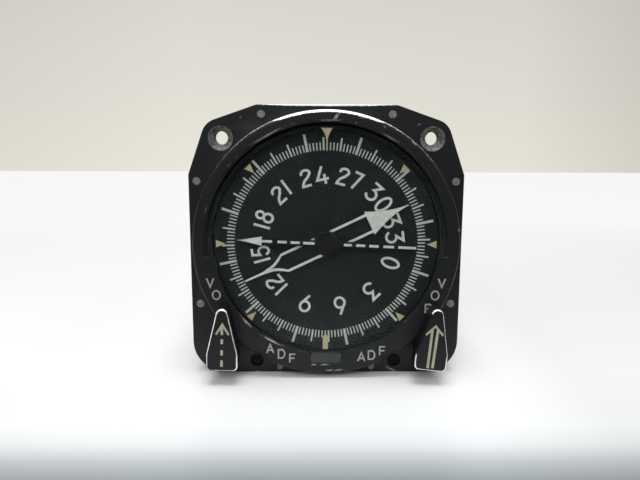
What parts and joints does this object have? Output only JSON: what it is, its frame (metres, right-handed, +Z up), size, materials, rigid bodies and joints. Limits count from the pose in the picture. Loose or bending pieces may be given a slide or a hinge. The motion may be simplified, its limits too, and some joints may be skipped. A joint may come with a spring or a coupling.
{
  "type": "radio magnetic indicator",
  "caption": "Panel indicator with a turning compass card, a single and a double bearing pointer, and two teardrop selector knobs.",
  "frame": {"origin": "on the dial's axis, in the plane of the flange's front face", "axes": "the dial faces -Y, the case runs to +Y, +Z is up and +X is to the right of a person facing the dial"},
  "size_m": [0.0826, 0.1536, 0.0826],
  "materials": {
    "black_paint": "matt black instrument enamel on cast aluminium",
    "worn_pin": "dull flush pins",
    "knob_black": "black painted knobs with worn bright edges",
    "glass": "clear cover glass",
    "gasket_rubber": "black rubber",
    "dial_black": "matt black dial paint",
    "pointer_white": "grey-white painted sheet",
    "lamp_grey": "grey moulded cover",
    "lamp_glass": "small frosted lamp",
    "steel": "plain steel",
    "brass": "machined brass",
    "aluminium": "clear anodised aluminium",
    "board_green": "glass-fibre circuit board",
    "component_tan": "potted components",
    "insert_green": "moulded connector insert",
    "switch_black": "moulded switch body",
    "wire": "laced wiring loom"
  },
  "bodies": {
    "housing": {"bezel_casting": "black_paint", "flange_pins": "worn_pin", "knob_bushings": "brass", "gear_covers": "black_paint", "gear_cover_screws": "steel", "glass_gasket": "gasket_rubber", "cover_glass": "glass", "glass_spacer": "dial_black", "dial_mask": "dial_black", "lamp_cover": "lamp_grey", "lamp": "lamp_glass", "lamp_holder": "brass", "case_can": "black_paint", "case_screws": "steel", "mechanism_screws": "steel", "rear_cover": "black_paint", "rear_cover_screws": "steel", "connector_shell": "aluminium", "connector_gasket": "gasket_rubber", "connector_insert": "insert_green", "connector_pins": "brass", "connector_screws": "steel", "front_plate": "aluminium", "middle_plate": "aluminium", "rear_plate": "aluminium", "plate_posts": "aluminium", "plate_screws": "steel", "card_bearing": "brass", "pointer_bearing": "brass", "heading_synchro": "aluminium", "pointer_synchros": "aluminium", "synchro_clamps": "steel", "synchro_terminals": "brass", "amplifier_board": "board_green", "amplifier_parts": "component_tan", "board_standoffs": "aluminium", "wiring_loom": "wire", "selector_switches": "switch_black"},
    "compass_card": {"compass_card": "dial_black", "card_hub": "brass", "card_screws": "steel", "card_gear": "brass"},
    "double_pointer": {"double_pointer": "pointer_white", "double_pointer_tube": "steel", "double_pointer_gear": "brass"},
    "single_pointer": {"single_pointer": "pointer_white", "single_pointer_shaft": "steel", "single_pointer_gear": "brass", "pointer_cap": "dial_black"},
    "heading_rotor": {"heading_rotor": "steel"},
    "double_rotor": {"double_rotor": "steel"},
    "single_rotor": {"single_rotor": "steel"},
    "left_knob": {"left_knob": "knob_black", "left_knob_shaft": "steel", "left_set_screw": "steel"},
    "right_knob": {"right_knob": "knob_black", "right_knob_shaft": "steel", "right_set_screw": "steel"},
    "left_switch_rotor": {"left_switch_rotor": "steel"},
    "right_switch_rotor": {"right_switch_rotor": "steel"}
  },
  "joints": [
    {"name": "card_turn", "type": "hinge", "parent": "housing", "child": "compass_card", "pos_m": [0, 0, 0], "axis": [0, 1, 0], "continuous": true},
    {"name": "double_pointer_turn", "type": "hinge", "parent": "housing", "child": "double_pointer", "pos_m": [0, 0, 0], "axis": [0, 1, 0], "continuous": true},
    {"name": "single_pointer_turn", "type": "hinge", "parent": "housing", "child": "single_pointer", "pos_m": [0, 0, 0], "axis": [0, 1, 0], "continuous": true},
    {"name": "heading_rotor_turn", "type": "hinge", "parent": "housing", "child": "heading_rotor", "pos_m": [0, 0, 0.02], "axis": [0, 1, 0], "continuous": true},
    {"name": "double_rotor_turn", "type": "hinge", "parent": "housing", "child": "double_rotor", "pos_m": [-0.01732, 0, -0.01], "axis": [0, 1, 0], "continuous": true},
    {"name": "single_rotor_turn", "type": "hinge", "parent": "housing", "child": "single_rotor", "pos_m": [0.01732, 0, -0.01], "axis": [0, 1, 0], "continuous": true},
    {"name": "left_selector", "type": "hinge", "parent": "housing", "child": "left_knob", "pos_m": [-0.03109, 0, -0.0312], "axis": [0, 1, 0], "range_deg": [0, 90]},
    {"name": "right_selector", "type": "hinge", "parent": "housing", "child": "right_knob", "pos_m": [0.03109, 0, -0.0312], "axis": [0, -1, 0], "range_deg": [0, 90]},
    {"name": "left_switch_turn", "type": "hinge", "parent": "housing", "child": "left_switch_rotor", "pos_m": [-0.02262, 0, -0.0227], "axis": [0, 1, 0], "range_deg": [-90, 0]},
    {"name": "right_switch_turn", "type": "hinge", "parent": "housing", "child": "right_switch_rotor", "pos_m": [0.02262, 0, -0.0227], "axis": [0, -1, 0], "range_deg": [-90, 0]}
  ],
  "couplings": [
    {"joint": "heading_rotor_turn", "follows": "card_turn", "ratio": -3},
    {"joint": "double_rotor_turn", "follows": "double_pointer_turn", "ratio": -3},
    {"joint": "single_rotor_turn", "follows": "single_pointer_turn", "ratio": -3},
    {"joint": "left_switch_turn", "follows": "left_selector", "ratio": -1},
    {"joint": "right_switch_turn", "follows": "right_selector", "ratio": -1}
  ]
}
